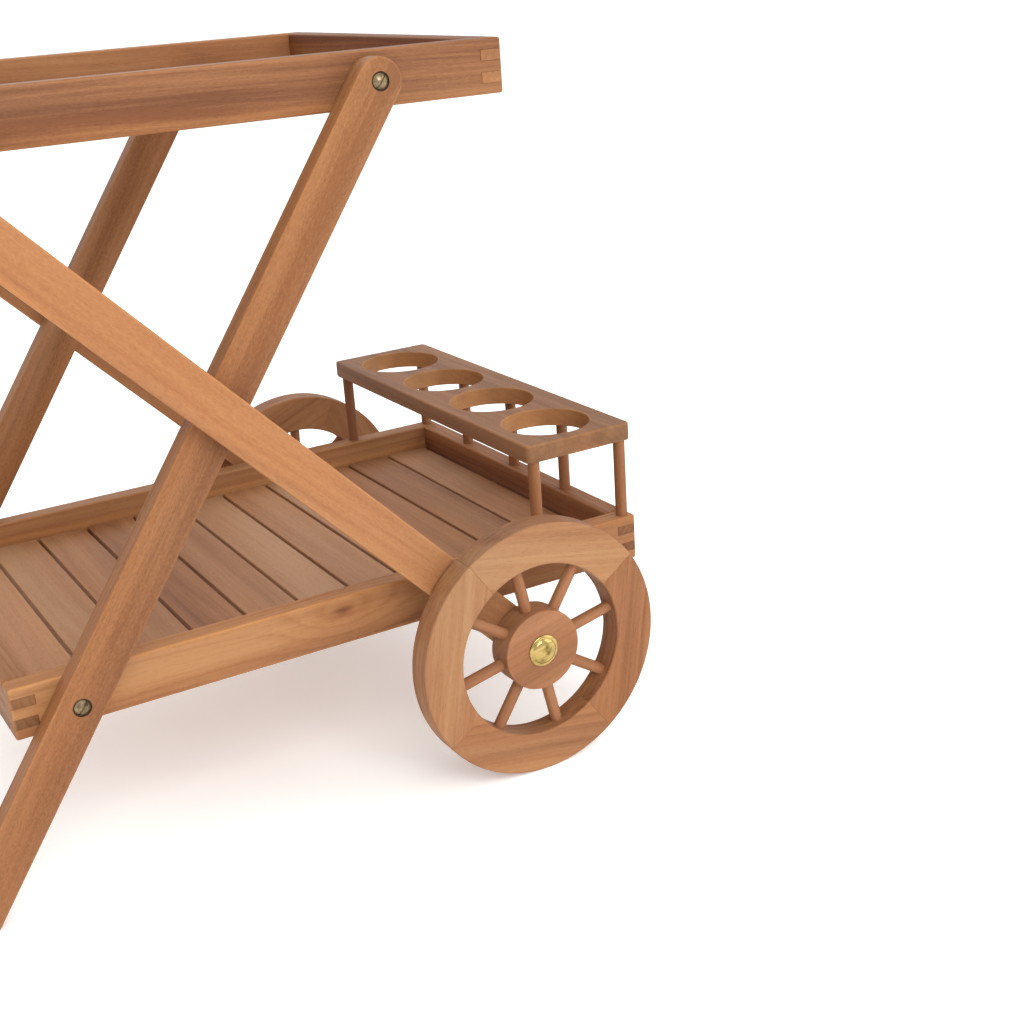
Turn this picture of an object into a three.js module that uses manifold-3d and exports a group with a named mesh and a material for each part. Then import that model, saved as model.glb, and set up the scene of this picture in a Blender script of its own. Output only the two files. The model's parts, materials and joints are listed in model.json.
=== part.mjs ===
// A wooden serving trolley: two slatted trays on a crossed pair of bars at each side,
// two spoked wooden wheels on a steel axle at one end, legs at the other, and a bottle rack.
// Millimetres, +Z up, +X towards the wheels, +Y to the left of a person pushing it.

import * as THREE from 'three';
import { mergeVertices } from 'three/addons/utils/BufferGeometryUtils.js';
import Module from 'manifold-3d';

const wasm = await Module();
wasm.setup();

// ---------------------------------------------------------------- driving dimensions

const GAP = 0.3;                   // clearance between neighbouring pieces

const WHEEL_RADIUS = 143;
const RIM_INNER_RADIUS = 97;
const RIM_THICKNESS = 30;
const RIM_INSIDE_Y = 303;          // the rim's inner face, from the centre plane
const HUB_RADIUS = 45;
const HUB_INSIDE_Y = 299.9;
const HUB_OUTSIDE_Y = 333.6;
const HUB_EASING = 2;
const SPOKE_RADIUS = 6.4;
const SPOKE_COUNT = 8;
const SPOKE_SOCKET_DEPTH = 10;
const FELLOE_COUNT = 4;
const RIGHT_WHEEL_TURN = 34.5;     // degrees from +X up to a felloe joint
const LEFT_WHEEL_TURN = 66;

const AXLE_RADIUS = 6;
const CAP_RADIUS = 17.5;
const CAP_HEIGHT = 6;
const CAP_FLANGE = 1.4;

const BAR_THICKNESS = 24.4;
const BAR_WIDTH = 45.5;
const HANDLE_BAR_ANGLE = 46.2;     // degrees above the floor
const LEG_ANGLE = 55.4;
const HANDLE_HEIGHT = 880;
const HANDLE_RADIUS = 15;
const HANDLE_EASING = 2;
const HANDLE_TENON_RADIUS = 11;
const LEG_PIVOT_X = -103;          // from the axle
const LEG_PIVOT_Z = 740;

const TRAY_LENGTH = 716;
const TRAY_WIDTH = 500;
const RAIL_THICKNESS = 24;
const RAIL_HEIGHT = 53.5;
const FINGERS = 5;                 // alternate fingers of each corner's box joint
const LOWER_TRAY_TOP = 230;
const LOWER_TRAY_END_X = 182.5;    // the wheel end, from the axle
const UPPER_TRAY_TOP = 768;
const UPPER_TRAY_END_X = 43.5;
const FLOOR_DEPTH = 28.5;          // from the rails' top down to the slats' top
const SLAT_THICKNESS = 12;
const SLAT_COUNT = 11;
const SLAT_GAP = 4.3;
const SLAT_END_GAP = 3.6;
const LEDGER_WIDTH = 16;

const BOARD_WIDTH = 136.5;
const BOARD_LENGTH = 499.4;
const BOARD_THICKNESS = 21;
const BOARD_TOP = 341.5;
const BOARD_END_X = 181;
const BOARD_CORNER = 6;
const BOTTLE_HOLE_RADIUS = 50.4;
const BOTTLE_HOLE_PITCH = 121.4;
const BOTTLE_HOLE_X = 110.5;
const DOWEL_RADIUS = 6.7;
const DOWEL_SOCKET = 12;
const DOWEL_INSET_Y = 9.2;         // a corner dowel's axis from the board's end
const INNER_DOWEL_INSET_X = 12.5;
const OUTER_DOWEL_COUNT = 5;

const BOLT_RADIUS = 4;
const BOLT_HEAD_RADIUS = 9;
const BOLT_HEAD_HEIGHT = 4;
const BOLT_SINK = 1.6;             // depth of the recess round each bolt head
const BOLT_RECESS_RADIUS = 10.3;
const BOLT_BITE = 18;              // length of bolt inside a tray rail
const SLOT_WIDTH = 1.8;            // the screwdriver slot across a bolt head
const SLOT_DEPTH = 1.8;
const SPACER_RADIUS = 19;

const OVERCUT = 1;                 // how far a cutter runs past the face it opens
const FLOOR_LAP = 1;               // depth to which the upper slats are let into their ledgers

// sides of the round shapes, and steps along the curved outlines
const SHANK_SIDES = 12;
const BOLT_SIDES = 16;
const DOWEL_SIDES = 16;
const ROD_SIDES = 20;
const CAP_SIDES = 24;
const HUB_SIDES = 36;
const BAR_END_STEPS = 9;
const FELLOE_STEPS = 7;
const CORNER_STEPS = 3;

// ---------------------------------------------------------------- worked-out places

const RADIANS = Math.PI / 180;
const TRAY_HALF = TRAY_WIDTH / 2;
const RAIL_INSIDE_Y = TRAY_HALF - RAIL_THICKNESS;
const LEG_INSIDE_Y = TRAY_HALF + GAP;
const LEG_OUTSIDE_Y = LEG_INSIDE_Y + BAR_THICKNESS;
const HANDLE_BAR_INSIDE_Y = LEG_OUTSIDE_Y + GAP;
const HANDLE_BAR_OUTSIDE_Y = HANDLE_BAR_INSIDE_Y + BAR_THICKNESS;
const RIM_OUTSIDE_Y = RIM_INSIDE_Y + RIM_THICKNESS;
const RIM_MIDDLE_Y = RIM_INSIDE_Y + RIM_THICKNESS / 2;
const RAIL_MIDDLE = RAIL_HEIGHT / 2;
const BOARD_BOTTOM = BOARD_TOP - BOARD_THICKNESS;
const LOWER_BOLT_Z = LOWER_TRAY_TOP - RAIL_MIDDLE;
const AXLE_END_Y = HUB_OUTSIDE_Y + GAP + CAP_HEIGHT / 2;
const BOTTLE_HOLE_YS = [-1.5, -0.5, 0.5, 1.5].map((step) => step * BOTTLE_HOLE_PITCH);

// x of a handle bar's centre line, which passes through the axle, at a height
const handleBarX = (z) => -(z - WHEEL_RADIUS) / Math.tan(HANDLE_BAR_ANGLE * RADIANS);
// x of a leg's centre line, which passes through its upper bolt, at a height
const legX = (z) => LEG_PIVOT_X - (LEG_PIVOT_Z - z) / Math.tan(LEG_ANGLE * RADIANS);

const HANDLE_X = handleBarX(HANDLE_HEIGHT);
const REAR_X = HANDLE_X - BAR_WIDTH / 2;
const FRAME_ORIGIN_X = (LOWER_TRAY_END_X + REAR_X) / 2;

// ---------------------------------------------------------------- finishes

const finish = (color, roughness, metalness) =>
  new THREE.MeshStandardMaterial({ color, roughness, metalness });

const TEAK = finish(0xb97f55, 0.55, 0);
const TEAK_PALE = finish(0xc48d60, 0.55, 0);
const TEAK_RED = finish(0xae7049, 0.55, 0);
const TEAK_SLAT = finish(0xa57858, 0.6, 0);
const BRASS = finish(0xc9a959, 0.25, 1);
const STEEL = finish(0x9a9a98, 0.35, 1);

// ---------------------------------------------------------------- shape helpers

function solid(geometry) {
  const bare = geometry.index ? geometry.clone() : geometry;
  bare.deleteAttribute('normal');
  bare.deleteAttribute('uv');
  const merged = mergeVertices(bare, 1e-4);
  const vertProperties = new Float32Array(merged.attributes.position.array);
  const triVerts = new Uint32Array(merged.index.array);
  return new wasm.Manifold(new wasm.Mesh({ numProp: 3, vertProperties, triVerts }));
}

function geometryOf(manifold) {
  const mesh = manifold.getMesh();
  const geometry = new THREE.BufferGeometry();
  geometry.setAttribute('position', new THREE.BufferAttribute(new Float32Array(mesh.vertProperties), 3));
  geometry.setIndex(new THREE.BufferAttribute(new Uint32Array(mesh.triVerts), 1));
  geometry.computeVertexNormals();
  return geometry;
}

// a block between two corners
function block(x0, x1, y0, y1, z0, z1) {
  const geometry = new THREE.BoxGeometry(x1 - x0, y1 - y0, z1 - z0);
  return geometry.translate((x0 + x1) / 2, (y0 + y1) / 2, (z0 + z1) / 2);
}

// an outline in X and Z, carried along Y
function plateAcross(outline, y0, y1, curveSegments) {
  const geometry = new THREE.ExtrudeGeometry(outline, {
    depth: y1 - y0, bevelEnabled: false, curveSegments,
  });
  return geometry.rotateX(Math.PI / 2).translate(0, y1, 0);
}

// a round rod along Y
function rodAcross(radius, y0, y1, x, z, sides = ROD_SIDES) {
  return new THREE.CylinderGeometry(radius, radius, y1 - y0, sides).translate(x, (y0 + y1) / 2, z);
}

// a round rod standing along Z
function rodUp(radius, z0, z1, x, y, sides = DOWEL_SIDES) {
  const geometry = new THREE.CylinderGeometry(radius, radius, z1 - z0, sides);
  return geometry.rotateX(Math.PI / 2).translate(x, y, (z0 + z1) / 2);
}

// a turned piece whose axis is Y: points are [radius, distance outwards along Y]
function turnedAcross(points, side, x, z, sides) {
  const profile = points.map(([r, y]) => new THREE.Vector2(r, y));
  const geometry = new THREE.LatheGeometry(profile, sides);
  if (side < 0) geometry.rotateX(Math.PI);
  return geometry.translate(x, 0, z);
}

// the stretch from a to b outwards from the centre plane, on one side of the trolley
const outwards = (side, a, b) => (side > 0 ? [a, b] : [-b, -a]);

const trolley = new THREE.Group();
trolley.position.x = -FRAME_ORIGIN_X;

function add(name, shape, material) {
  const geometry = shape.isBufferGeometry ? shape : geometryOf(shape);
  const mesh = new THREE.Mesh(geometry, material.clone());
  mesh.name = name;
  trolley.add(mesh);
}

const SIDES = [['left', 1], ['right', -1]];

// ---------------------------------------------------------------- bolts

// Each bolt joins a bar to a tray's side rail, through a spacer where the bar stands away from it.
const BOLTS = [
  { place: 'upper_leg', x: LEG_PIVOT_X, z: LEG_PIVOT_Z, face: LEG_OUTSIDE_Y },
  { place: 'lower_leg', x: legX(LOWER_BOLT_Z), z: LOWER_BOLT_Z, face: LEG_OUTSIDE_Y },
  { place: 'upper_handle_bar', x: handleBarX(LEG_PIVOT_Z), z: LEG_PIVOT_Z, face: HANDLE_BAR_OUTSIDE_Y },
  { place: 'lower_handle_bar', x: handleBarX(LOWER_BOLT_Z), z: LOWER_BOLT_Z, face: HANDLE_BAR_OUTSIDE_Y },
];

// the clearance hole of one bolt with its head's recess
function boltHole(bolt, side) {
  const [shankStart, shankEnd] = outwards(side, TRAY_HALF - BOLT_BITE - GAP, bolt.face + OVERCUT);
  const [sinkStart, sinkEnd] = outwards(side, bolt.face - BOLT_SINK, bolt.face + OVERCUT);
  const shank = solid(rodAcross(BOLT_RADIUS + GAP, shankStart, shankEnd, bolt.x, bolt.z, SHANK_SIDES));
  return shank.add(solid(rodAcross(BOLT_RECESS_RADIUS, sinkStart, sinkEnd, bolt.x, bolt.z)));
}

function boltHoles(side, places) {
  return BOLTS.filter((bolt) => places.includes(bolt.place)).map((bolt) => boltHole(bolt, side));
}

const cut = (body, tools) => tools.reduce((rest, tool) => rest.subtract(tool), body);

function boltShape(bolt, side) {
  const tip = TRAY_HALF - BOLT_BITE;
  const seat = bolt.face - BOLT_SINK + GAP;
  const dome = seat + BOLT_HEAD_HEIGHT;
  const turned = turnedAcross([
    [0, tip],
    [BOLT_RADIUS, tip],
    [BOLT_RADIUS, seat],
    [BOLT_HEAD_RADIUS, seat],
    [BOLT_HEAD_RADIUS * 0.97, seat + BOLT_HEAD_HEIGHT * 0.4],
    [BOLT_HEAD_RADIUS * 0.72, seat + BOLT_HEAD_HEIGHT * 0.82],
    [BOLT_HEAD_RADIUS * 0.38, dome - 0.1],
    [0, dome],
  ], side, bolt.x, bolt.z, BOLT_SIDES);
  const [slotStart, slotEnd] = outwards(side, dome - SLOT_DEPTH, dome + OVERCUT);
  const slot = block(
    -BOLT_HEAD_RADIUS, BOLT_HEAD_RADIUS, slotStart, slotEnd, -SLOT_WIDTH / 2, SLOT_WIDTH / 2,
  );
  slot.rotateY(side * LEG_ANGLE * RADIANS).translate(bolt.x, 0, bolt.z);
  return solid(turned).subtract(solid(slot));
}

for (const [sideName, side] of SIDES) {
  for (const bolt of BOLTS) add(`${sideName}_${bolt.place}_bolt`, boltShape(bolt, side), BRASS);
}

// ---------------------------------------------------------------- trays

// x of the bottle rack's corner and end-rail dowels, and their y
const RACK_DOWELS = [];
const OUTER_DOWEL_X = LOWER_TRAY_END_X - RAIL_THICKNESS / 2;
const INNER_DOWEL_X = BOARD_END_X - BOARD_WIDTH + INNER_DOWEL_INSET_X;
const DOWEL_SPAN = BOARD_LENGTH / 2 - DOWEL_INSET_Y;
for (let i = 0; i < OUTER_DOWEL_COUNT; i += 1) {
  const y = DOWEL_SPAN * (1 - (2 * i) / (OUTER_DOWEL_COUNT - 1));
  RACK_DOWELS.push({ name: `rack_outer_dowel_${i + 1}`, x: OUTER_DOWEL_X, y });
}
for (const [sideName, side] of SIDES) {
  RACK_DOWELS.push({ name: `rack_inner_dowel_${sideName}`, x: INNER_DOWEL_X, y: side * DOWEL_SPAN });
}

const railSockets = () => RACK_DOWELS.map(({ x, y }) =>
  solid(rodUp(DOWEL_RADIUS + GAP, LOWER_TRAY_TOP - DOWEL_SOCKET, LOWER_TRAY_TOP + OVERCUT, x, y)));

// Heights of a box joint's finger, counted from the bottom: 0, 2 and 4 belong to the side rail.
function fingerHeights(bottom, index, slack) {
  const height = RAIL_HEIGHT / FINGERS;
  return [bottom + index * height - slack, bottom + (index + 1) * height + slack];
}

function sideRail(bottom, x0, x1, side, cutters) {
  const [y0, y1] = outwards(side, RAIL_INSIDE_Y, TRAY_HALF);
  const shoulder = RAIL_THICKNESS + GAP;
  const notches = [];
  for (const index of [1, 3]) {
    const [z0, z1] = fingerHeights(bottom, index, GAP / 2);
    notches.push(solid(block(x0 - OVERCUT, x0 + shoulder, y0 - OVERCUT, y1 + OVERCUT, z0, z1)));
    notches.push(solid(block(x1 - shoulder, x1 + OVERCUT, y0 - OVERCUT, y1 + OVERCUT, z0, z1)));
  }
  return cut(solid(block(x0, x1, y0, y1, bottom, bottom + RAIL_HEIGHT)), [...notches, ...cutters]);
}

function endRail(bottom, x0, x1, cutters) {
  const shoulder = RAIL_INSIDE_Y - GAP;
  let rail = solid(block(x0, x1, -shoulder, shoulder, bottom, bottom + RAIL_HEIGHT));
  for (const index of [1, 3]) {
    const [z0, z1] = fingerHeights(bottom, index, -GAP / 2);
    rail = rail.add(solid(block(x0, x1, -TRAY_HALF, TRAY_HALF, z0, z1)));
  }
  return cut(rail, cutters);
}

// x ranges of the slats between a tray's end rails
function slatSpans(x0) {
  const room = TRAY_LENGTH - 2 * RAIL_THICKNESS - 2 * SLAT_END_GAP;
  const width = (room - (SLAT_COUNT - 1) * SLAT_GAP) / SLAT_COUNT;
  const first = x0 + RAIL_THICKNESS + SLAT_END_GAP;
  return Array.from({ length: SLAT_COUNT }, (_, i) => {
    const start = first + i * (width + SLAT_GAP);
    return [start, start + width];
  });
}

function trayRails(level, top, endX, boltPlaces, cutters) {
  const bottom = top - RAIL_HEIGHT;
  const x0 = endX - TRAY_LENGTH;
  for (const [sideName, side] of SIDES) {
    const holes = [...boltHoles(side, boltPlaces), ...cutters];
    add(`${level}_tray_${sideName}_rail`, sideRail(bottom, x0, endX, side, holes), TEAK);
  }
  add(`${level}_tray_front_rail`, endRail(bottom, endX - RAIL_THICKNESS, endX, cutters), TEAK_RED);
  add(`${level}_tray_rear_rail`, endRail(bottom, x0, x0 + RAIL_THICKNESS, []), TEAK_RED);
}

function slat([start, end], top) {
  const half = RAIL_INSIDE_Y - 2 * GAP;
  return block(start, end, -half, half, top - SLAT_THICKNESS, top);
}

// the strip that carries the slats' ends, along the inside of a side rail
function ledger(side, x0, x1, slatBottom, railBottom) {
  const [y0, y1] = outwards(side, RAIL_INSIDE_Y - GAP - LEDGER_WIDTH, RAIL_INSIDE_Y - GAP);
  return block(x0, x1, y0, y1, railBottom + GAP, slatBottom);
}

trayRails('lower', LOWER_TRAY_TOP, LOWER_TRAY_END_X, ['lower_leg', 'lower_handle_bar'], railSockets());
trayRails('upper', UPPER_TRAY_TOP, UPPER_TRAY_END_X, ['upper_leg', 'upper_handle_bar'], []);

// The lower floor: loose slats on two ledgers.
const lowerRear = LOWER_TRAY_END_X - TRAY_LENGTH;
const lowerFloorTop = LOWER_TRAY_TOP - FLOOR_DEPTH;
slatSpans(lowerRear).forEach((span, i) => add(`lower_slat_${i + 1}`, slat(span, lowerFloorTop), TEAK_SLAT));
for (const [sideName, side] of SIDES) {
  const strip = ledger(
    side, lowerRear + RAIL_THICKNESS + GAP, LOWER_TRAY_END_X - RAIL_THICKNESS - GAP,
    lowerFloorTop - SLAT_THICKNESS - GAP, LOWER_TRAY_TOP - RAIL_HEIGHT,
  );
  add(`lower_ledger_${sideName}`, strip, TEAK);
}

// The upper floor: the same slats glued to their ledgers, as one lift-in piece.
const upperRear = UPPER_TRAY_END_X - TRAY_LENGTH;
const upperFloorTop = UPPER_TRAY_TOP - FLOOR_DEPTH;
let upperFloor = solid(slat(slatSpans(upperRear)[0], upperFloorTop));
for (const span of slatSpans(upperRear).slice(1)) {
  upperFloor = upperFloor.add(solid(slat(span, upperFloorTop)));
}
for (const [, side] of SIDES) {
  const strip = ledger(
    side, upperRear + RAIL_THICKNESS + GAP, UPPER_TRAY_END_X - RAIL_THICKNESS - GAP,
    upperFloorTop - SLAT_THICKNESS + FLOOR_LAP, UPPER_TRAY_TOP - RAIL_HEIGHT,
  );
  upperFloor = upperFloor.add(solid(strip));
}
add('upper_tray_floor', upperFloor, TEAK_SLAT);

// ---------------------------------------------------------------- crossed bars

// A straight bar in X and Z with a round end about each of two centres.
function roundEndedBar(x0, z0, x1, z1) {
  const direction = Math.atan2(z1 - z0, x1 - x0);
  const outline = new THREE.Shape();
  outline.absarc(x1, z1, BAR_WIDTH / 2, direction - Math.PI / 2, direction + Math.PI / 2, false);
  outline.absarc(x0, z0, BAR_WIDTH / 2, direction + Math.PI / 2, direction + 1.5 * Math.PI, false);
  return outline;
}

function handleBar(side) {
  const [y0, y1] = outwards(side, HANDLE_BAR_INSIDE_Y, HANDLE_BAR_OUTSIDE_Y);
  const outline = roundEndedBar(0, WHEEL_RADIUS, HANDLE_X, HANDLE_HEIGHT);
  const axleHole = rodAcross(AXLE_RADIUS + GAP, y0 - OVERCUT, y1 + OVERCUT, 0, WHEEL_RADIUS);
  const tenonHole = rodAcross(
    HANDLE_TENON_RADIUS + GAP, y0 - OVERCUT, y1 + OVERCUT, HANDLE_X, HANDLE_HEIGHT,
  );
  const holes = boltHoles(side, ['upper_handle_bar', 'lower_handle_bar']);
  const bar = solid(plateAcross(outline, y0, y1, BAR_END_STEPS));
  return cut(bar, [solid(axleHole), solid(tenonHole), ...holes]);
}

// A leg is a round-ended bar whose lower end is sawn level with the floor.
function leg(side) {
  const [y0, y1] = outwards(side, LEG_INSIDE_Y, LEG_OUTSIDE_Y);
  const overrun = -2 * BAR_WIDTH;
  const outline = roundEndedBar(legX(overrun), overrun, LEG_PIVOT_X, LEG_PIVOT_Z);
  const footX = legX(0);
  const belowFloor = block(
    footX + 2 * overrun, footX - overrun, y0 - OVERCUT, y1 + OVERCUT, 3 * overrun, 0,
  );
  const holes = boltHoles(side, ['upper_leg', 'lower_leg']);
  return cut(solid(plateAcross(outline, y0, y1, BAR_END_STEPS)), [solid(belowFloor), ...holes]);
}

function spacer(side, bolt) {
  const [y0, y1] = outwards(side, TRAY_HALF + GAP, HANDLE_BAR_INSIDE_Y - GAP);
  return cut(solid(rodAcross(SPACER_RADIUS, y0, y1, bolt.x, bolt.z, CAP_SIDES)), [boltHole(bolt, side)]);
}

for (const [sideName, side] of SIDES) {
  add(`${sideName}_handle_bar`, handleBar(side), TEAK_PALE);
  add(`${sideName}_leg`, leg(side), TEAK_PALE);
  for (const bolt of BOLTS.filter(({ place }) => place.endsWith('handle_bar'))) {
    add(`${sideName}_${bolt.place.split('_')[0]}_spacer`, spacer(side, bolt), TEAK_RED);
  }
}

// The handle: a turned grip with a tenon through each handle bar.
const gripEnd = HANDLE_BAR_INSIDE_Y - GAP;
const handle = turnedAcross([
  [0, -HANDLE_BAR_OUTSIDE_Y],
  [HANDLE_TENON_RADIUS, -HANDLE_BAR_OUTSIDE_Y],
  [HANDLE_TENON_RADIUS, -gripEnd],
  [HANDLE_RADIUS - HANDLE_EASING, -gripEnd],
  [HANDLE_RADIUS, -gripEnd + HANDLE_EASING],
  [HANDLE_RADIUS, gripEnd - HANDLE_EASING],
  [HANDLE_RADIUS - HANDLE_EASING, gripEnd],
  [HANDLE_TENON_RADIUS, gripEnd],
  [HANDLE_TENON_RADIUS, HANDLE_BAR_OUTSIDE_Y],
  [0, HANDLE_BAR_OUTSIDE_Y],
], 1, HANDLE_X, HANDLE_HEIGHT, ROD_SIDES);
add('handle', handle, TEAK_PALE);

// ---------------------------------------------------------------- bottle rack

function bottleBoard() {
  const x1 = BOARD_END_X;
  const x0 = x1 - BOARD_WIDTH;
  const half = BOARD_LENGTH / 2;
  const r = BOARD_CORNER;
  const outline = new THREE.Shape();
  outline.absarc(x1 - r, half - r, r, 0, Math.PI / 2, false);
  outline.absarc(x0 + r, half - r, r, Math.PI / 2, Math.PI, false);
  outline.absarc(x0 + r, -half + r, r, Math.PI, 1.5 * Math.PI, false);
  outline.absarc(x1 - r, -half + r, r, 1.5 * Math.PI, 2 * Math.PI, false);
  const geometry = new THREE.ExtrudeGeometry(outline, {
    depth: BOARD_THICKNESS, bevelEnabled: false, curveSegments: CORNER_STEPS,
  });
  const board = solid(geometry.translate(0, 0, BOARD_BOTTOM));
  const below = BOARD_BOTTOM - OVERCUT;
  const above = BOARD_TOP + OVERCUT;
  const holes = BOTTLE_HOLE_YS.map((y) =>
    solid(rodUp(BOTTLE_HOLE_RADIUS, below, above, BOTTLE_HOLE_X, y, HUB_SIDES)));
  const sockets = RACK_DOWELS.map(({ x, y }) =>
    solid(rodUp(DOWEL_RADIUS + GAP, below, BOARD_BOTTOM + DOWEL_SOCKET, x, y)));
  return cut(board, [...holes, ...sockets]);
}

add('bottle_board', bottleBoard(), TEAK);
for (const { name, x, y } of RACK_DOWELS) {
  const foot = LOWER_TRAY_TOP - DOWEL_SOCKET + GAP;
  add(name, rodUp(DOWEL_RADIUS, foot, BOARD_BOTTOM + DOWEL_SOCKET - GAP, x, y), TEAK_RED);
}

// ---------------------------------------------------------------- wheels and axle

const SPOKE_TIP = RIM_INNER_RADIUS + SPOKE_SOCKET_DEPTH;

// a spoke lying along a direction in the wheel's plane
function spoke(side, angle, radius, from, to) {
  const rod = new THREE.CylinderGeometry(radius, radius, to - from, SHANK_SIDES);
  rod.translate(0, (from + to) / 2, 0).rotateX(Math.PI / 2).rotateY(Math.PI / 2 - angle);
  return solid(rod.translate(0, side * RIM_MIDDLE_Y, WHEEL_RADIUS));
}

const spokeAngles = (turn) => Array.from({ length: SPOKE_COUNT }, (_, i) =>
  turn * RADIANS + ((i + 0.5) * 2 * Math.PI) / SPOKE_COUNT);

function felloe(side, turn, index) {
  const slack = GAP / 2 / RIM_INNER_RADIUS;
  const start = turn * RADIANS + (index * 2 * Math.PI) / FELLOE_COUNT + slack;
  const end = start + (2 * Math.PI) / FELLOE_COUNT - 2 * slack;
  const outline = new THREE.Shape();
  outline.absarc(0, 0, WHEEL_RADIUS, start, end, false);
  outline.absarc(0, 0, RIM_INNER_RADIUS, end, start, true);
  const [y0, y1] = outwards(side, RIM_INSIDE_Y, RIM_OUTSIDE_Y);
  const piece = plateAcross(outline, y0, y1, FELLOE_STEPS).translate(0, 0, WHEEL_RADIUS);
  const sockets = spokeAngles(turn).map((angle) =>
    spoke(side, angle, SPOKE_RADIUS + GAP, HUB_RADIUS, SPOKE_TIP));
  return cut(solid(piece), sockets);
}

// The hub and the eight spokes glued into it, bored to run on the axle.
function spokedHub(side, turn) {
  let hub = solid(turnedAcross([
    [0, HUB_INSIDE_Y],
    [HUB_RADIUS - HUB_EASING, HUB_INSIDE_Y],
    [HUB_RADIUS, HUB_INSIDE_Y + HUB_EASING],
    [HUB_RADIUS, HUB_OUTSIDE_Y - HUB_EASING],
    [HUB_RADIUS - HUB_EASING, HUB_OUTSIDE_Y],
    [0, HUB_OUTSIDE_Y],
  ], side, 0, WHEEL_RADIUS, HUB_SIDES));
  for (const angle of spokeAngles(turn)) {
    hub = hub.add(spoke(side, angle, SPOKE_RADIUS, HUB_RADIUS - SPOKE_SOCKET_DEPTH, SPOKE_TIP - GAP));
  }
  const [y0, y1] = outwards(side, HUB_INSIDE_Y - OVERCUT, HUB_OUTSIDE_Y + OVERCUT);
  return hub.subtract(solid(rodAcross(AXLE_RADIUS + GAP, y0, y1, 0, WHEEL_RADIUS)));
}

// A domed cap pressed on the axle's end, with a thin flange against the hub.
function hubCap(side) {
  const seat = HUB_OUTSIDE_Y + GAP;
  const socketEnd = AXLE_END_Y + GAP;
  return turnedAcross([
    [0, socketEnd],
    [AXLE_RADIUS + GAP, socketEnd],
    [AXLE_RADIUS + GAP, seat],
    [CAP_RADIUS, seat],
    [CAP_RADIUS, seat + CAP_FLANGE],
    [CAP_RADIUS * 0.84, seat + CAP_FLANGE],
    [CAP_RADIUS * 0.76, seat + CAP_HEIGHT * 0.55],
    [CAP_RADIUS * 0.56, seat + CAP_HEIGHT * 0.82],
    [CAP_RADIUS * 0.3, seat + CAP_HEIGHT * 0.96],
    [0, seat + CAP_HEIGHT],
  ], side, 0, WHEEL_RADIUS, CAP_SIDES);
}

for (const [sideName, side] of SIDES) {
  const turn = side > 0 ? LEFT_WHEEL_TURN : RIGHT_WHEEL_TURN;
  for (let i = 0; i < FELLOE_COUNT; i += 1) {
    add(`${sideName}_wheel_felloe_${i + 1}`, felloe(side, turn, i), i % 2 ? TEAK : TEAK_PALE);
  }
  add(`${sideName}_wheel_spoked_hub`, spokedHub(side, turn), TEAK_RED);
  add(`${sideName}_hub_cap`, hubCap(side), BRASS);
}

add('axle', rodAcross(AXLE_RADIUS, -AXLE_END_Y, AXLE_END_Y, 0, WHEEL_RADIUS), STEEL);

export default trolley;
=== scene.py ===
# A wooden serving trolley on two spoked wheels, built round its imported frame.
# Metres, in the frame's own axes: +X towards the wheels, +Y to the left, +Z up.

import json
import math

import bpy
import numpy as np
from mathutils import Matrix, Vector
from mathutils.geometry import tessellate_polygon


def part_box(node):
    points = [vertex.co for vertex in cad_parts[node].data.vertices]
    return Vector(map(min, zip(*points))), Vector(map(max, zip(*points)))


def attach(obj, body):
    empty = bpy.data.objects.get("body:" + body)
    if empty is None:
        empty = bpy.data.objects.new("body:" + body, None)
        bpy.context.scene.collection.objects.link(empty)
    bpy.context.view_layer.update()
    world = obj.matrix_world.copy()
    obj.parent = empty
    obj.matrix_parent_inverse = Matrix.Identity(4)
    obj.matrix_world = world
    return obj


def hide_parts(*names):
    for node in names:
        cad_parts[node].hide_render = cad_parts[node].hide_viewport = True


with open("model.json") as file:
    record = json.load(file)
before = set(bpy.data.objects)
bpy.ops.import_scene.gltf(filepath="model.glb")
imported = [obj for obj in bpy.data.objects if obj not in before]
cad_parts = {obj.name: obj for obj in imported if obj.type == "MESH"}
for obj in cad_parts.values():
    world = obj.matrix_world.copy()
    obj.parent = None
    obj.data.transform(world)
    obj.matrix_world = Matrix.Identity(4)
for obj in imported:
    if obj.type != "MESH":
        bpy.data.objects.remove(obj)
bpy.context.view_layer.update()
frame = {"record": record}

# ------------------------------------------------------------------ driving sizes

MM = 0.001
FINGERS = 5                             # fingers and gaps in one tray corner's box joint
JOINT_GAP = 0.06 * MM                   # half the line left between two fingers or two felloes
ROOT_TAPER = 1.2                        # gap at a finger's root, as a share of the gap at its tip
TRAY_EASING = 2.4 * MM                  # rounding of the rails' long edges
CORNER_EASING = 2.8 * MM                # rounding of the trays' upright corners
SEAM_EASING = 0.15 * MM                 # rounding where two pieces meet flush
SLATS = 11                              # slats in each tray
SLAT_EASING = 1.3 * MM
SLAT_UNEVENNESS = 0.35 * MM             # most that a slat's top is set down by
BAR_EASING = 2.2 * MM
FOOT_ROUNDING = 2.5 * MM
BORE_EASING = 0.3 * MM                  # rounding of the bores and recesses in the bars
AXLE_BORE_RADIUS = 6.3 * MM
TENON_RADIUS = 11 * MM
TENON_BORE_RADIUS = 11.3 * MM
TENON_EASING = 0.8 * MM
GRIP_EASING = 2.5 * MM
SHOULDER_GAP = 0.3 * MM                 # between the grip's shoulder and the bar
SPACER_BORE_RADIUS = 4.4 * MM
SPACER_EASING = 1.0 * MM
BOARD_EASING = 2.6 * MM
BOARD_CORNER_RADIUS = 6 * MM
RACK_HOLE_RADIUS = 50.4 * MM
HOLE_EASING = 1.4 * MM
DOWELS = 5                              # dowels in the front end rail
DOWEL_EASING = 0.6 * MM
FELLOES = 4
RIM_INNER_RADIUS = 97 * MM
RIM_EASING = 2.0 * MM
RIM_TURNS = {"left": math.radians(66), "right": math.radians(34.5)}
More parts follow.
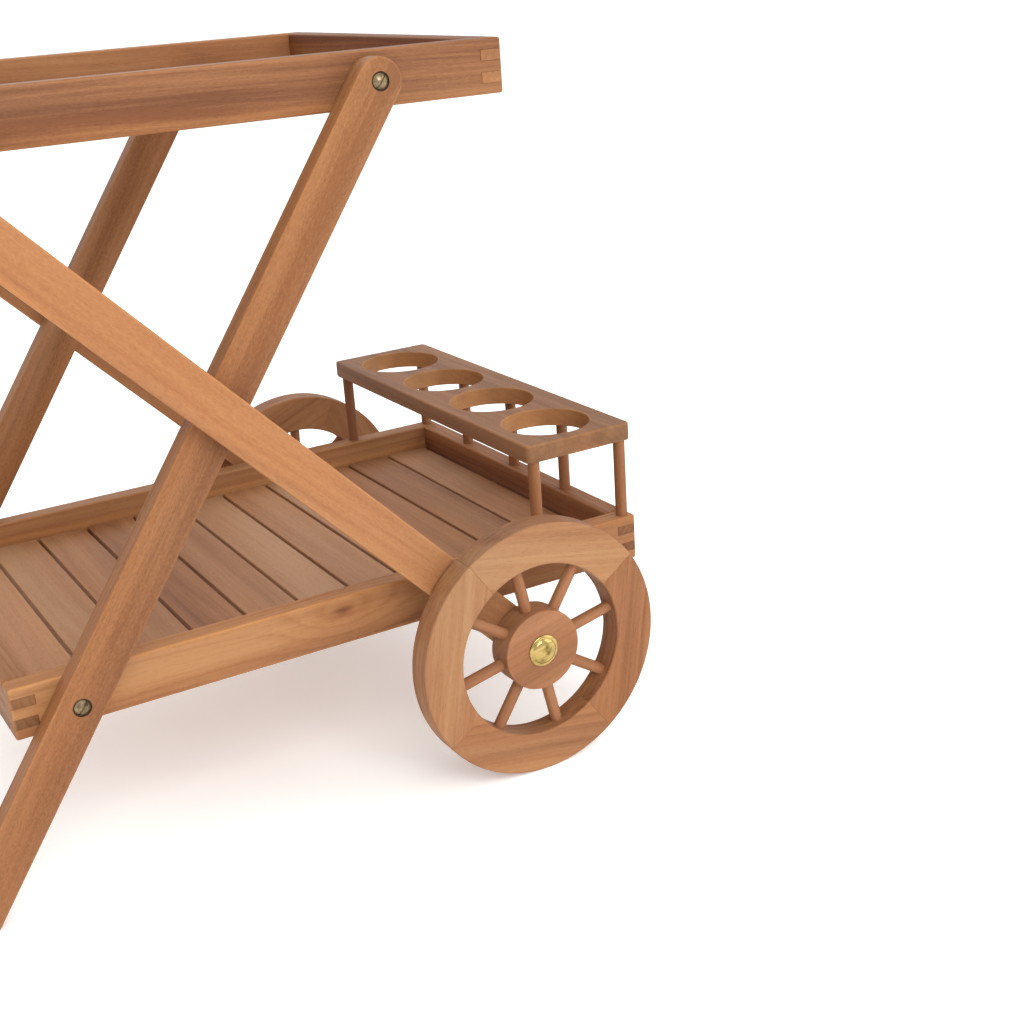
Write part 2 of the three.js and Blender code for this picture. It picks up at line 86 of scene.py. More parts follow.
TREAD_SHADE = 0.16                      # how much darker a rim is away from its flat faces
HUB_RADIUS = 45 * MM
HUB_EASING = 2.2 * MM
HUB_BORE_EASING = 0.5 * MM
SPOKES = 8
SPOKE_RADIUS = 6.4 * MM
SPOKE_EASING = 0.5 * MM
SPOKE_TENON = 6 * MM                    # length of a spoke inside the hub, and inside the rim
AXLE_EASING = 0.8 * MM
BOLT_HEAD_RADIUS = 7.8 * MM
BOLT_HEAD_DEPTH = 4.0 * MM              # from the head's seat out to the end of the bolt's box
BOLT_HEAD_RIM = 0.4 * MM                # height of the head's upright rim
BOLT_HEAD_RISE = 3.4 * MM               # height of its dome above the rim
BOLT_LEAN = math.radians(-38)           # turn of the head's slot from +X
BOLT_RECESS_RADIUS = 9.0 * MM
BOLT_RECESS_DEPTH = 1.6 * MM
BOLT_SHANK_RADIUS = 4.0 * MM
BOLT_SHANK_EASING = 0.4 * MM
SLOT_WIDTH = 1.8 * MM
SLOT_DEPTH = 1.5 * MM
SLOT_LIP = 0.03 * MM                    # width of the slot's steep walls

ROUND_STEPS = 5                         # steps round an eased edge
SPILL = 0.01                            # share kept of what lies beyond a tray's rounded corner
SLIVER = 1e-17                          # faces of less than half this many square metres go
FRESH = 2.3                             # wear of a bore's paler wood
RECESS_SHADE = -1.0                          # painted shade in a bolt's recess, given as a negative mark
WOOD_LEVEL = 0.61                       # brightness of the woods in this studio's light
FLOOR_GLOW = 0.2
SKY_STRENGTH = 1.04

X, Y, Z = np.eye(3)
SIDES = (("left", 1.0), ("right", -1.0))
chance = np.random.default_rng(20)


def box(node):
    """Lowest and highest corner of a CAD node."""
    low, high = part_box(node)
    return np.array(low), np.array(high)


def middle(node):
    """Middle of a CAD node's box."""
    low, high = box(node)
    return (low + high) / 2


AXLE = middle("axle")

# ------------------------------------------------------------------ outlines and surfaces


def rounded(corners, radii, steps=6):
    """An anticlockwise outline of straight runs joined by arcs.

    Each arc's centre is its corner moved along both neighbouring runs' outward directions, and a
    point on it is the centre plus the radius times a direction that turns evenly from one run's
    outward direction to the next one's. Returns the points and their outward directions.
    """
    corners = np.asarray(corners, float)
    radii = np.broadcast_to(np.asarray(radii, float), len(corners))
    run = np.roll(corners, -1, 0) - corners
    run /= np.linalg.norm(run, axis=1)[:, None]
    after = np.stack([run[:, 1], -run[:, 0]], 1)
    before = np.roll(after, 1, 0)
    level = (before * after).sum(1)
    turn = np.arctan2(before[:, 0] * after[:, 1] - before[:, 1] * after[:, 0], level)
    reach = np.sign(turn) * radii
    centre = corners - (reach / (1 + level))[:, None] * (before + after)
    share = np.linspace(0, 1, steps + 1)
    angle = np.arctan2(before[:, 1], before[:, 0])[:, None] + turn[:, None] * share
    outward = np.stack([np.cos(angle), np.sin(angle)], 2)
    points = (centre[:, None] + reach[:, None, None] * outward).reshape(-1, 2)
    fresh = np.linalg.norm(points - np.roll(points, 1, 0), axis=1) > 1e-7
    return points[fresh], outward.reshape(-1, 2)[fresh]


def circle(centre, radius, steps=48):
    """The wall of a hole: centre + radius * (cos a, sin a) for falling a, looking inwards."""
    angle = -np.arange(steps) * 2 * math.pi / steps
    spoke = np.stack([np.cos(angle), np.sin(angle)], 1)
    return np.asarray(centre) + radius * spoke, -spoke


class Shape:
    """Points, outward directions, faces and edge wear of one closed surface; the same numbers also
    paint highlight and shade.
    """

    def __init__(self):
        self.points, self.outward, self.faces, self.wear, self.count = [], [], [], [], 0

    def add(self, points, outward, wear):
        """Adds rows of points and returns their numbers, in the same rows."""
        numbers = self.count + np.arange(points[..., 0].size).reshape(points.shape[:-1])
        self.count += numbers.size
        self.points.append(points.reshape(-1, 3))
        self.outward.append(outward.reshape(-1, 3))
        self.wear.append(np.broadcast_to(wear, numbers.shape).reshape(-1))
        return numbers

    def skin(self, rows, closed=True):
        """Four-cornered faces between neighbouring rows of point numbers, round each row."""
        across = np.roll(rows, -1, 1) if closed else rows[:, 1:]
        start = rows if closed else rows[:, :-1]
        quads = [start[:-1], across[:-1], across[1:], start[1:]]
        self.faces.append(np.stack(quads, 2).reshape(-1, 4))

    def fill(self, loops, flat):
        """A flat face inside the first loop and outside the others, whose places flat holds."""
        lines = [[(*p, 0.0) for p in loop.tolist()] for loop in flat]
        triangles = np.array(tessellate_polygon(lines))
        self.faces.append(np.concatenate(loops)[triangles])

    def mesh(self, name):
        """The Blender mesh, slivers left out and each face wound to look the way its points do."""
        points, outward = np.concatenate(self.points), np.concatenate(self.outward)
        faces = []
        for group in self.faces:
            a, b, c = points[group[:, 0]], points[group[:, 1]], points[group[:, 2]]
            looks = np.cross(b - a, c - a)
            if group.shape[1] == 4:
                looks += np.cross(c - a, points[group[:, 3]] - a)
            wrong = (looks * outward[group].sum(1)).sum(1) < 0
            group = np.where(wrong[:, None], group[:, ::-1], group)
            faces += group[np.linalg.norm(looks, axis=1) > SLIVER].tolist()
        made = bpy.data.meshes.new(name)
        made.from_pydata(points.tolist(), [], faces)
        made.update()
        made.normals_split_custom_set_from_vertices(outward.tolist())
        return made, points, outward


def carried(outline, path, length, ease0, ease1, stations=2, holes=(), depth=None, corner=None):
    """An outline carried along a path, with its two ends rounded over.

    path(s) gives the origin, the outline's two axes and the direction of travel at arc length s.
    At each end the outline is drawn in by easing * (1 - sin t) while it travels
    easing * (1 - cos t), for t from 0 to a right angle. Where depth is given, the travel is
    depth * (1 - cos t) for all points alike. corner is (lowest, highest, radius at the start,
    radius at the stop): along the outline's first axis, all but a hundredth of what lies beyond its
    limits less radius * (1 - sin t) is taken off. A hole is (points, directions, from, to, easing,
    end, wear): it runs between two lengths, and end is "through" or the end where it opens, with a
    flat floor at the other. Its wear fades to none at its edges. Along the eased edges the wear
    peaks halfway round and paints them lighter, partly worn and partly a painted highlight; a hole's
    negative mark paints shade.
    """
    points, outward = outline
    shape = Shape()
    count = len(points)
    ease0 = np.broadcast_to(ease0, count)
    ease1 = np.broadcast_to(ease1, count)
    lowest, highest, radius0, radius1 = corner or (-np.inf, np.inf, 0, 0)

    def rings(points, outward, start, stop, first, last, between, deep0, deep1, mark):
        """Rows of points, directions, wear and outline places of one wall between two lengths, the
        wear also painting highlight and shade.
        """
        quarter = np.linspace(0, math.pi / 2, ROUND_STEPS + 1)[:, None]
        drawn = [first * (1 - np.sin(quarter)), last * (1 - np.cos(quarter))]
        along = [start + deep0 * (1 - np.cos(quarter)), stop - deep1 * (1 - np.sin(quarter))]
        side = [np.sin(quarter), np.cos(quarter)]
        ahead = [-np.cos(quarter), np.sin(quarter)]
        rest = np.linspace(0, 1, between)[1:-1, None]
        flat = np.zeros((len(rest), len(points)))
        inset = np.concatenate([drawn[0], flat, drawn[1]])
        pull = [radius0 * (1 - np.sin(quarter)), 0 * rest, radius1 * (1 - np.cos(quarter))]
        pull = np.concatenate(pull)
        s = np.concatenate([along[0], along[0][-1] + (along[1][0] - along[0][-1]) * rest, along[1]])
        across = np.concatenate([side[0], 1 + 0 * rest, side[1]])[..., None]
        forward = np.concatenate([ahead[0], 0 * rest, ahead[1]])[..., None]
        centre, u, v, t = path(s)
        place = points - outward * inset[..., None]
        bound = np.clip(place[..., 0], lowest + pull, highest - pull)
        place[..., 0] = bound + SPILL * (place[..., 0] - bound)
        spots = centre + place[..., :1] * u + place[..., 1:] * v
        looks = (outward[:, :1] * u + outward[:, 1:] * v) * across + t * forward
        # Highest halfway round an eased edge: a worn arris with a painted highlight.
        wear = np.sin(2 * np.arcsin(np.clip(across[..., 0], 0, 1))) + 0 * s
        # A hole's own mark instead: paler fresh wood in a bore, painted shade in a bolt recess.
        if mark is not None:
            wear = mark * np.minimum(across[..., 0] * 3, 1) + 0 * s
        return spots, looks, wear, place

    deep0, deep1 = (ease0, ease1) if depth is None else (np.full(count, depth),) * 2
    whole = (points, outward, 0.0, length, ease0, ease1, stations, deep0, deep1, None)
    spots, looks, wear, place = rings(*whole)
    rows = shape.add(spots, looks, wear)
    shape.skin(rows)
    ends = {"start": ([rows[0]], [place[0]]), "stop": ([rows[-1]], [place[-1]])}
    for hole, into, start, stop, easing, kind, mark in holes:
        first = np.full(len(hole), 0.0 if kind == "stop" else easing)
        last = np.full(len(hole), 0.0 if kind == "start" else easing)
        bore = (hole, into, start, stop, first, last, 2, first, last, mark)
        spots, looks, wear, place = rings(*bore)
        rows = shape.add(spots, looks, wear)
        shape.skin(rows)
        for end, row, flat in (("start", rows[0], place[0]), ("stop", rows[-1], place[-1])):
            if kind in ("through", end):
                ends[end][0].append(row)
                ends[end][1].append(flat)
            else:
                _, _, _, t = path(np.array([[start if end == "start" else stop]]))
                toward = t if end == "start" else -t
                floor = shape.add(spots[0 if end == "start" else -1][None],
                                  np.broadcast_to(toward, (1, len(hole), 3)), mark)
                shape.fill([floor[0]], [flat])
    for loops, flat in ends.values():
        shape.fill(loops, flat)
    return shape


def straight(origin, u, v):
    """The path of a flat board: from origin along u x v, with the outline's axes u and v."""
    travel = np.cross(u, v)

    def path(s):
        return origin + s[..., None] * travel, u, v, travel

    return path


def turned(profile, outward, origin, axis, sides=48, closed=False):
    """A profile of (distance along the axis, radius) turned about the axis.

    A point is origin + distance * axis + radius * (cos a * b + sin a * c). An open profile is
    closed by one point on the axis at each end, and a closed one runs round a bore.
    """
    shape = Shape()
    b = np.cross(axis, Y if abs(axis[1]) < 0.9 else Z)
    b /= np.linalg.norm(b)
    c = np.cross(axis, b)
    angle = (np.arange(sides) * 2 * math.pi / sides)[:, None]
    around = np.cos(angle) * b + np.sin(angle) * c
    points = origin + profile[:, None, :1] * axis + profile[:, None, 1:] * around
    looks = outward[:, None, :1] * axis + outward[:, None, 1:] * around
    # Highest where the profile leans halfway round a rounding: a worn edge with a painted highlight.
    lean = np.abs(outward[:, 0] * outward[:, 1]) * 2
    rows = shape.add(points, looks, lean[:, None])
    shape.skin(np.concatenate([rows, rows[:1]]) if closed else rows)
    if not closed:
        for row, (distance, _), side in ((rows[0], profile[0], -1), (rows[-1], profile[-1], 1)):
            pole = shape.add((origin + distance * axis)[None], (side * axis)[None], 0.0)
            fan = [row, np.roll(row, -1), np.broadcast_to(pole, row.shape)]
            shape.faces.append(np.stack(fan, 1))
    return shape


def rod_profile(length, radius, easing, rings=14):
    """Profile of a round rod with eased ends.

    At each end the radius is radius - easing * (1 - sin t) at a distance easing * (1 - cos t), for
    t from 0 to a right angle.
    """
    quarter = np.linspace(0, math.pi / 2, ROUND_STEPS + 1)
    share = np.linspace(0, 1, rings)[1:-1]
    lead = [easing * (1 - np.cos(quarter)), radius - easing * (1 - np.sin(quarter))]
    body = [easing + (length - 2 * easing) * share, radius + 0 * share]
    tail = [length - lead[0][::-1], lead[1][::-1]]
    profile = np.stack([np.concatenate(p) for p in zip(lead, body, tail)], 1)
    outward = np.concatenate([
        np.stack([-np.cos(quarter), np.sin(quarter)], 1),
        np.stack([0 * share, 1 + 0 * share], 1),
        np.stack([np.cos(quarter[::-1]), np.sin(quarter[::-1])], 1),
    ])
    return profile, outward


# ------------------------------------------------------------------ materials


class Recipe:
    """One material's nodes, linked as they are added."""

    def __init__(self, name):
        self.material = bpy.data.materials.new(name)
        self.material.use_nodes = True
        self.tree = self.material.node_tree
        self.tree.nodes.clear()

    def node(self, kind, inputs=None, **settings):
        """A node with its settings, each input linked to a socket or given a fixed value."""
        made = self.tree.nodes.new("ShaderNode" + kind)
        for key, value in settings.items():
            setattr(made, key, value)
        for key, value in (inputs or {}).items():
            if isinstance(value, bpy.types.NodeSocket):
                self.tree.links.new(value, made.inputs[key])
            else:
                made.inputs[key].default_value = value
        return made

    def math(self, operation, *values):
        """One sum on numbers."""
        return self.node("Math", dict(enumerate(values)), operation=operation).outputs[0]

    def vector(self, operation, *values):
        """One sum on vectors."""
        made = self.node("VectorMath", dict(enumerate(values)), operation=operation)
        return made.outputs["Value" if operation == "LENGTH" else "Vector"]

    def noise(self, place, stretch, detail=2.0, roughness=0.5, output="Fac"):
        """Noise with as many grains to the metre along each axis as stretch says."""
        stretched = self.vector("MULTIPLY", place, stretch)
        settings = {"Vector": stretched, "Scale": 1.0, "Detail": detail, "Roughness": roughness}
        return self.node("TexNoise", settings).outputs[output]

    def ramp(self, value, *stops):
        """A grey or a colour that slides through the stops, each a place and its value."""
        made = self.node("ValToRGB", {"Fac": value})
        elements = made.color_ramp.elements
        while len(elements) < len(stops):
            elements.new(0.5)
        for element, (place, colour) in zip(elements, stops):
            element.position = place
            element.color = (*colour, 1) if isinstance(colour, tuple) else (colour,) * 3 + (1,)
        return made.outputs["Color"]

    def mix(self, share, a, b, blend="MIX"):
        """Colour a, by a share replaced by b or multiplied with it."""
        made = self.node("Mix", {0: share, 6: a, 7: b}, data_type="RGBA", blend_type=blend)
        return made.outputs[2]

    def scale(self, value, low, high):
        """value from 0..1 to low..high."""
        return self.math("MULTIPLY_ADD", value, high - low, low)

    def surface(self, **inputs):
        """The finished material, from the shader's inputs by name."""
        shader = self.node("BsdfPrincipled", {k.replace("_", " "): v for k, v in inputs.items()})
        self.node("OutputMaterial", {"Surface": shader.outputs[0]})
        return self.material


def srgb(red, green, blue, level=1.0):
    """Scene-linear colour, at a share of its brightness, from the usual 0..255 screen values."""
    share = np.array([red, green, blue]) / 255
    linear = np.where(share <= 0.04045, share / 12.92, ((share + 0.055) / 1.055) ** 2.4)
    return tuple((linear * level).tolist())


def timber(*screen):
    """A wood's own colour, from the colour it has on screen in this studio's light."""
    return srgb(*screen, WOOD_LEVEL)


def teak(name, pale, plain, deep, figure=1.0, speckle=1.0):
    """Oiled teak.

    Growth rings are shells about the tree's heart, which runs along the grain: the ring number is
    the distance from that line, bent by slow noise and round a knot, times the rings to the metre,
    and the colour darkens towards each ring's end. A knot fades with its distance d as
    fade ** (d * d). Noise drawn out along the grain adds streaks and bands, and finer noise the
    short dark pores. Sapwood is lighter and yellower, and end grain darker or paler by its piece.
    Eased edges are painted lighter, partly worn and partly a painted highlight, bores are paler as
    fresh wood, and bolt recesses are darker as painted shade.
    """
    rings_per_metre, fade = 135.0, 0.37
    cool, warm = (0.93, 1.0, 1.08, 1), (1.05, 0.955, 0.84, 1)
    sapwood, lit = (1.24, 1.23, 1.06, 1), (1.75, 1.68, 1.42, 1)
    end_dark, end_light = (0.30, 0.34, 0.36, 1), (0.95, 0.95, 0.9, 1)
    recess_shade_colour = (0.02, 0.016, 0.011, 1)
    r = Recipe(name)
    grain = r.node("Attribute", attribute_name="grain").outputs["Vector"]
    tones = r.node("Attribute", attribute_name="tones").outputs["Vector"]
    shade, warmth, ends = r.node("SeparateXYZ", {0: tones}).outputs
    wear = r.node("Attribute", attribute_name="wear").outputs["Fac"]
    sap = r.node("Attribute", attribute_name="sap").outputs["Fac"]
    knot = r.node("Attribute", attribute_name="knot").outputs["Vector"]

    near = r.vector("LENGTH", knot)
    swirl = r.math("POWER", fade, r.math("MULTIPLY", near, near))
    core = r.math("POWER", fade, r.math("POWER", r.math("MULTIPLY", near, 5.0), 2.0))
    slow = r.vector("SUBTRACT", r.noise(grain, (1.7, 15, 15), 2, output="Color"), (0.5,) * 3)
    bent = r.vector("ADD", r.vector("MULTIPLY", slow, (0, 0.022, 0.022)), grain)
    aside = r.vector("SCALE", knot, (0.0,) * 3, (0.0,) * 3, r.math("MULTIPLY", swirl, -0.008))
    bent = r.vector("ADD", bent, r.vector("MULTIPLY", aside, (0, 1, 0)))
    radius = r.vector("LENGTH", r.vector("MULTIPLY", bent, (0, 1, 1)))
    radius = r.math("MULTIPLY_ADD", swirl, 0.018, radius)
    uneven = r.noise(bent, (0.5, 34, 34), 1)
    ring = r.math("FRACT", r.math("ADD", r.math("MULTIPLY", radius, rings_per_metre), uneven))
    ring = r.ramp(ring, (0.0, 0.45), (0.12, 0.0), (0.6, 0.22), (0.93, 1.0), (1.0, 0.45))
    streak = r.noise(bent, (5.0, 230, 230), 4, 0.62)
    band = r.noise(bent, (1.1, 24, 24), 2)
    tint = r.noise(grain, (2.4, 16, 16), 2)
    fleck = r.noise(grain, (110, 1500, 1500), 2, 0.6)
    mottle = r.noise(grain, (260, 620, 620), 3, 0.65)

    depth = r.math("MULTIPLY_ADD", ring, 0.2 * figure, shade)
    depth = r.math("ADD", depth, r.scale(streak, -0.4 * figure, 0.4 * figure))
    depth = r.math("ADD", depth, r.scale(band, -0.72, 0.72))
    depth = r.math("ADD", depth, r.scale(mottle, -0.16 * speckle, 0.16 * speckle))
    depth = r.math("MULTIPLY_ADD", swirl, 0.22, depth)
    depth = r.math("MULTIPLY_ADD", core, 0.7, depth)
    colour = r.ramp(r.math("ADD", depth, 0.38), (0.0, pale), (0.45, plain), (1.0, deep))
    pores = r.ramp(fleck, (0.52, 0.0), (0.72, 1.0))
    colour = r.mix(r.math("MULTIPLY", pores, 0.2), colour, (*deep, 1), "MULTIPLY")
    drift = r.math("ADD", warmth, r.scale(tint, -0.8, 0.8))
    colour = r.mix(drift, r.mix(1.0, colour, cool, "MULTIPLY"),
                   r.mix(1.0, colour, warm, "MULTIPLY"))
    young = r.ramp(r.math("ADD", sap, r.scale(band, -0.5, 0.5)), (0.0, 0.0), (0.4, 1.0))
    light = r.mix(1.0, colour, sapwood, "MULTIPLY")
    colour = r.mix(r.math("MULTIPLY", young, 0.75), colour, light)
    colour = r.mix(r.math("MAXIMUM", ends, 0.0), colour, r.mix(streak, end_dark, end_light),
                   "MULTIPLY")
    colour = r.mix(r.math("MULTIPLY", ends, -0.5), colour, (*pale, 1))
    # Lighter where marked: eased edges partly worn and partly a painted highlight, bores paler as
    # fresh wood.
    bright = r.mix(0.35, r.mix(1.0, colour, lit, "MULTIPLY"), (*pale, 1))
    colour = r.mix(r.math("MULTIPLY", wear, 0.3), colour, bright)
    # A negative mark paints shade into the bolt recesses.
    colour = r.mix(r.math("MULTIPLY", wear, -0.8), colour, recess_shade_colour)

    height = r.math("SUBTRACT", r.scale(streak, 0.0, 0.8), r.math("MULTIPLY", pores, 0.7))
    bump = r.node("Bump", {"Height": height, "Strength": 0.28, "Distance": 0.35 * MM})
    rough = r.math("ADD", r.scale(streak, 0.48, 0.7), r.math("MULTIPLY", pores, 0.1))
    return r.surface(Base_Color=colour, Roughness=rough, Normal=bump.outputs[0],
                     Specular_IOR_Level=0.26)


def metal(name, bright, dull, smooth, worn):
    """Metal whose colour and roughness drift between bright and dull, with a fine tooth, and whose
    roundings and bolt heads are painted lighter, partly worn and partly a painted highlight.
    """
    r = Recipe(name)
    place = r.node("TexCoord").outputs["Object"]
    cloud = r.noise(place, (90,) * 3, 4, 0.6)
    fine = r.noise(place, (900,) * 3, 3, 0.6)
    wear = r.node("Attribute", attribute_name="wear").outputs["Fac"]
    tired = r.ramp(cloud, (0.42, 0.0), (0.66, 1.0))
    colour = r.mix(tired, (*bright, 1), (*dull, 1))
    # Roundings and bolt heads are painted brighter, partly worn and partly a painted highlight.
    colour = r.mix(r.math("MULTIPLY", wear, 0.35), colour, (*bright, 1))
    rough = r.math("ADD", r.scale(tired, smooth, worn), r.scale(fine, -0.05, 0.07))
    bump = r.node("Bump", {"Height": fine, "Strength": 0.12, "Distance": 0.1 * MM})
    return r.surface(Base_Color=colour, Roughness=rough, Normal=bump.outputs[0], Metallic=1.0)


RAIL_TEAK = teak("rail_teak", timber(204, 149, 100), timber(182, 124, 79),
                 timber(132, 80, 48))
BAR_TEAK = teak("bar_teak", timber(210, 153, 103), timber(190, 131, 86),
                timber(148, 94, 56), 0.6, 2.2)
SLAT_TEAK = teak("slat_teak", timber(216, 163, 119), timber(194, 137, 95),
                 timber(146, 96, 64), 0.45)
BOARD_TEAK = teak("board_teak", timber(206, 153, 98), timber(168, 118, 78),
                  timber(122, 78, 50), 0.45)
WHEEL_TEAK = teak("wheel_teak", timber(204, 151, 104), timber(182, 126, 83),
                  timber(140, 88, 54), 0.9)
ROUND_TEAK = teak("round_teak", timber(198, 139, 96), timber(172, 115, 75),
                  timber(126, 78, 48), 0.6)
BRASS = metal("brass", srgb(184, 160, 98), srgb(112, 92, 50), 0.12, 0.3)
OLD_BRASS = metal("bolt_brass", srgb(142, 124, 96), srgb(64, 50, 36), 0.24, 0.5)
STEEL = metal("steel", srgb(150, 150, 148), srgb(96, 96, 96), 0.24, 0.45)

# ------------------------------------------------------------------ pieces


def settle(name, shape, body, nodes, material, slot, along=None, through=None, tone=(0, 0.5),
           ends=0.6, sap=(0, 0, -3), knot=(9, 9, 0.01), shade=0.0):
    """Makes the piece, writes its wood coordinates and has it ride on its body.

    grain is the place along the fibres, across them and through the board, measured from the
    tree's heart. tones holds the shade, the warmth and how squarely each point cuts the fibres.
    The heart is at a random place beside the piece, at a slight random slant. sap is a slope along,
    a slope across and a level, all linear from the piece's middle, and is sapwood where positive.
    knot is a place along, a place across and a size.
    """
    mesh, points, outward = shape.mesh(name)
    piece = bpy.data.objects.new(name, mesh)
    bpy.context.scene.collection.objects.link(piece)
    write(mesh, "wear", "FLOAT", "value", np.concatenate(shape.wear))
    if along is not None:
        along = along / np.linalg.norm(along)
        through = through - along * (through @ along)
        through /= np.linalg.norm(through)
        across = np.cross(through, along)
        centre = (points.max(0) + points.min(0)) / 2
        local = (points - centre) @ np.stack([along, across, through], 1)
        write(mesh, "sap", "FLOAT", "value", local @ np.array([*sap[:2], 0]) + sap[2])
        swirl = (local - np.array([knot[0], knot[1], 0])) * np.array([0.4, 1, 0]) / knot[2]
        write(mesh, "knot", "FLOAT_VECTOR", "vector", swirl)
        drift = chance.uniform([2, -0.05, 0.03], [9, 0.05, 0.12])
        local += drift + local[:, :1] * np.array([0, *chance.uniform(-0.03, 0.03, 2)])
        cut = ends * np.clip((outward @ along) ** 2 * 1.4 - 0.4, 0, 1)
        level, warmth = np.array(tone) + chance.uniform([-0.07, -0.14], [0.07, 0.14])
        tones = np.stack([level + shade + 0 * cut, warmth + 0 * cut, cut], 1)
        write(mesh, "grain", "FLOAT_VECTOR", "vector", local)
        write(mesh, "tones", "FLOAT_VECTOR", "vector", tones)
    mesh.materials.append(material)
    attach(piece, body)
    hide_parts(*nodes)
    return piece


def write(mesh, name, kind, field, values):
    """Stores one value for each of the mesh's points."""
    layer = mesh.attributes.new(name, kind, "POINT")
    layer.data.foreach_set(field, values.astype(np.float32).ravel())


def board(low, high, upright, radius, ease0, ease1):
    """A plain board between two corners: a rounded rectangle carried along the upright axis."""
    u, v = [axis for axis in (X, Y, Z) if axis is not upright]
    if np.cross(u, v) @ upright < 0:
        u, v = v, u
    a, b = np.array([low @ u, low @ v]), np.array([high @ u, high @ v])
    corners = [a, (b[0], a[1]), b, (a[0], b[1])]
    path = straight(upright * (low @ upright), u, v)
    return carried(rounded(corners, radius), path, (high - low) @ upright, ease0, ease1)


def levels(low, high):
    """Heights of the lines between a box joint's fingers."""
    return np.linspace(low[2], high[2], FINGERS + 1)


def fingered(near, far, tip, heights):
    """Right half of a rail's outline: it stands at near in the bands given by far, else at tip.

    Each finger is thinner than its band by a gap at each side, and by a hair more at its root.
    """
    run = [(near if 0 in far else tip, heights[0])]
    for band in range(FINGERS - 1):
        shrink = JOINT_GAP if band in far else -JOINT_GAP
        ends = [(near, heights[band + 1] + ROOT_TAPER * shrink), (tip, heights[band + 1] + shrink)]
        run += ends if band in far else ends[::-1]
    return run + [(near if FINGERS - 1 in far else tip, heights[FINGERS])]


def rail(node, half, low, high, path, u_limit, outer_first, wall, slot, grain, outer, **finish):
    """A tray rail: its fingered half outline and that half turned about, carried through its wall.

    The long edges are eased all along. Fingers keep their outline, and what lies beyond the tray's
    rounded upright corner is brought back to the corner's arc. outer_first says that the path starts
    at the tray's outer face.
    """
    other = [(sum(u_limit) - u, z) for u, z in reversed(half)]
    corners = np.array(half + other)
    height = corners[:, 1]
    outermost = (np.abs(height - low[2]) < MM) | (np.abs(height - high[2]) < MM)
    points, outward = rounded(corners, np.where(outermost, CORNER_EASING, 1.4 * SEAM_EASING), 5)
    edge = np.minimum(points[:, 1] - low[2], high[2] - points[:, 1]) < 1.1 * CORNER_EASING
    easing = np.where(edge, TRAY_EASING, SEAM_EASING)
    radii = (CORNER_EASING, 0.0) if outer_first else (0.0, CORNER_EASING)
    shape = carried((points, outward), path, wall, easing, easing, depth=TRAY_EASING,
                    corner=(*u_limit, *radii))
    return settle(node, shape, "frame", [node], RAIL_TEAK, slot, grain, outer, **finish)


def side_rail(tray, side_name, side, **finish):
    """A tray's side rail: its first, third and fifth bands reach the end rail's outer face."""
    node = f"{tray}_tray_{side_name}_rail"
    low, high = box(node)
    wall = high[1] - low[1]
    half = fingered(high[0] - wall, (1, 3), high[0], levels(low, high))
    path = straight(Y * high[1], X, Z)
    limit = (low[0], high[0])
    return rail(node, half, low, high, path, limit, side > 0, wall, "teak", X, side * Y, **finish)


def end_rail(tray, end_name, side, **finish):
    """A tray's end rail: its second and fourth bands fill the gaps between the side's fingers."""
    node = f"{tray}_tray_{end_name}_rail"
    low, high = box(node)
    wall = high[0] - low[0]
    half = fingered(high[1] - wall - JOINT_GAP, (0, 2, 4), high[1], levels(low, high))
    path = straight(X * low[0], Y, Z)
    limit = (low[1], high[1])
    return rail(node, half, low, high, path, limit, side < 0, wall, "teak_red", Y, side * X,
                **finish)


def slat(name, low, high, nodes, tone):
    """A floor slat, its top edges eased, set down by a hair that differs from slat to slat."""
    low, high = low.copy(), high.copy()
    high[2] -= chance.uniform(0, SLAT_UNEVENNESS)
    shape = board(low, high, Z, 1.2 * SLAT_EASING, 0.5 * SLAT_EASING, SLAT_EASING)
    return settle(name, shape, "frame", nodes, SLAT_TEAK, "teak_slat", Y, Z, tone)


def ledger(name, low, high, nodes):
    """A strip that carries the slats' ends."""
    shape = board(low, high, Z, 1.2 * SLAT_EASING, SLAT_EASING, SLAT_EASING)
    return settle(name, shape, "frame", nodes, RAIL_TEAK, "teak", X, Y, (0.02, 0.5))


def bar_outline(top, bottom, width, level=None):
    """A bar's outline in X and Z: half circles at its ends, or a foot cut level at a height."""
    along = (top - bottom) / np.linalg.norm(top - bottom)
    across = np.array([-along[1], along[0]]) * width / 2
    reach = along * width / 2
    corners = [bottom - reach + across, bottom - reach - across,
               top + reach - across, top + reach + across]
    radii = np.full(4, width / 2)
    if level is not None:
        for i in (0, 1):
            corners[i] = corners[i] + along * (level - corners[i][1]) / along[1]
        radii[:2] = FOOT_ROUNDING
    return rounded(corners, radii, 20), along


def crossed_bar(node, side, top, bottom, level, bolts, through_holes, **finish):
    """A leg or handle bar, with a recess round each bolt head on its outer face.

    Half its width is how far its box reaches past the centre of its rounded front end.
    """
    low, high = box(node)
    wall = high[1] - low[1]
    width = 2 * (high[0] - top[0] if level is not None else high[0] - bottom[0])
    outline, along = bar_outline(top, bottom, width, level)
    outer = "stop" if side < 0 else "start"
    sunk = (wall - BOLT_RECESS_DEPTH, wall) if side < 0 else (0.0, BOLT_RECESS_DEPTH)
    # The recess round each bolt head is painted darker as shade.
    holes = [(*circle(spot, BOLT_RECESS_RADIUS), *sunk, BORE_EASING, outer, RECESS_SHADE)
             for spot in bolts]
    holes += [(*circle(spot, radius), 0.0, wall, BORE_EASING, "through", None)
              for spot, radius in through_holes]
    path = straight(Y * high[1], X, Z)
    shape = carried(outline, path, wall, BAR_EASING, BAR_EASING, holes=holes)
    grain = np.array([along[0], 0, along[1]])
    return settle(node, shape, "frame", [node], BAR_TEAK, "teak_pale", grain, side * Y, **finish)


